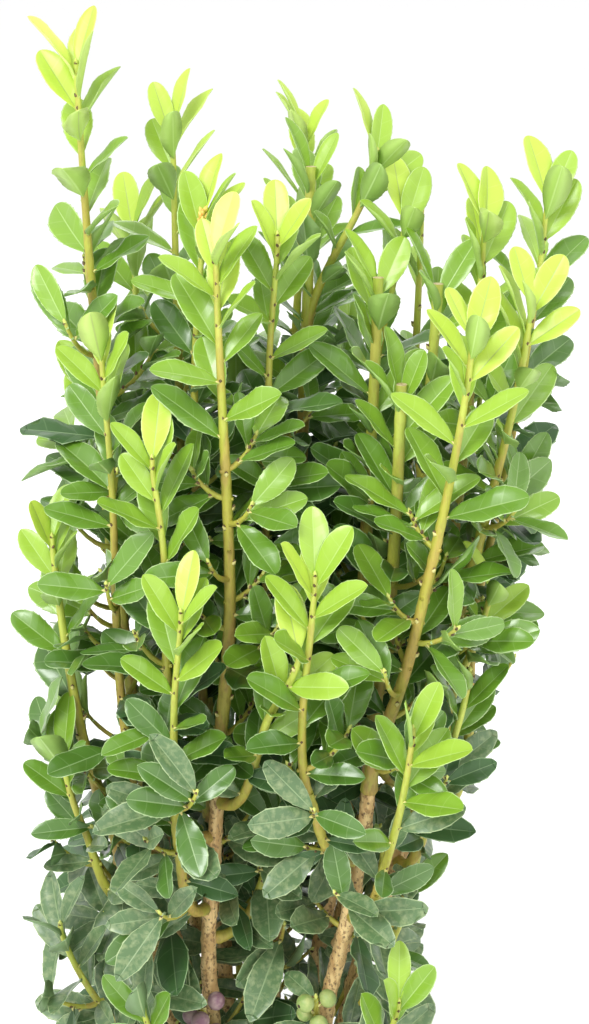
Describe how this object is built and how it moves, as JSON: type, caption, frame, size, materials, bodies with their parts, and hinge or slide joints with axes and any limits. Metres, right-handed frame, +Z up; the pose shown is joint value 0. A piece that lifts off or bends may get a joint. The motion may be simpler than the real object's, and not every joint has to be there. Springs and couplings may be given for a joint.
{
  "type": "columnar holly shrub",
  "caption": "Young upright holly shrub, rooted in the ground: a short trunk, steep slender boughs and leafy shoots, some pruned, with a little fruit low down.",
  "frame": {"origin": "centre of the trunk's flat cut at ground level", "axes": "+Z up along the trunk, -Y towards the plant's front, +X to the right seen from the front"},
  "size_m": [0.1904, 0.1695, 0.4268],
  "materials": {
    "bark": "tan young bark, slightly rough",
    "leaves_deep": "dark glossy evergreen leaves in the shade low down",
    "leaves_mid": "glossy mid green leaves",
    "leaves_fresh": "soft light green leaves of this year's growth"
  },
  "bodies": {
    "root": {"trunk": "bark", "left_bough": "bark", "right_bough": "bark", "far_left_bough": "bark", "right_side_bough": "bark", "back_left_bough": "bark", "centre_bough": "bark", "mid_right_bough": "bark", "rear_bough": "bark", "low_left_bough": "bark", "centre_right_bough": "bark", "right_back_bough": "bark", "rear_left_bough": "bark", "rear_right_bough": "bark", "left_main_shoot": "leaves_fresh", "right_main_shoot": "leaves_fresh", "front_left_shoot": "leaves_mid", "front_centre_shoot": "leaves_mid", "front_right_shoot": "leaves_mid", "inner_left_shoot": "leaves_mid", "middle_shoot": "leaves_mid", "hidden_shoot": "leaves_deep", "centre_right_shoot": "leaves_mid", "tall_left_shoot": "leaves_fresh", "outer_left_shoot": "leaves_mid", "low_left_shoot": "leaves_mid", "left_edge_shoot": "leaves_deep", "back_left_shoot": "leaves_fresh", "upper_left_shoot": "leaves_mid", "centre_shoot": "leaves_mid", "centre_left_shoot": "leaves_mid", "mid_right_shoot": "leaves_mid", "mid_back_shoot": "leaves_mid", "right_cut_shoot": "leaves_mid", "right_upper_shoot": "leaves_fresh", "right_top_shoot": "leaves_mid", "right_side_shoot": "leaves_fresh", "right_edge_shoot": "leaves_mid", "right_mid_shoot": "leaves_deep", "right_low_shoot": "leaves_deep", "right_foot_shoot": "leaves_deep", "rear_left_shoot": "leaves_fresh", "rear_left_side_shoot": "leaves_mid", "rear_left_inner_shoot": "leaves_mid", "rear_shoot": "leaves_fresh", "rear_side_shoot": "leaves_mid", "rear_inner_shoot": "leaves_mid", "rear_right_shoot": "leaves_fresh", "rear_right_side_shoot": "leaves_mid", "rear_right_low_shoot": "leaves_mid", "left_foot_shoot": "leaves_deep", "front_left_foot_shoot": "leaves_deep", "front_right_foot_shoot": "leaves_deep", "rear_left_foot_shoot": "leaves_deep", "rear_foot_shoot": "leaves_deep", "rear_right_foot_shoot": "leaves_deep", "left_berry_spur": "leaves_deep", "right_berry_spur": "leaves_deep"}
  },
  "joints": []
}
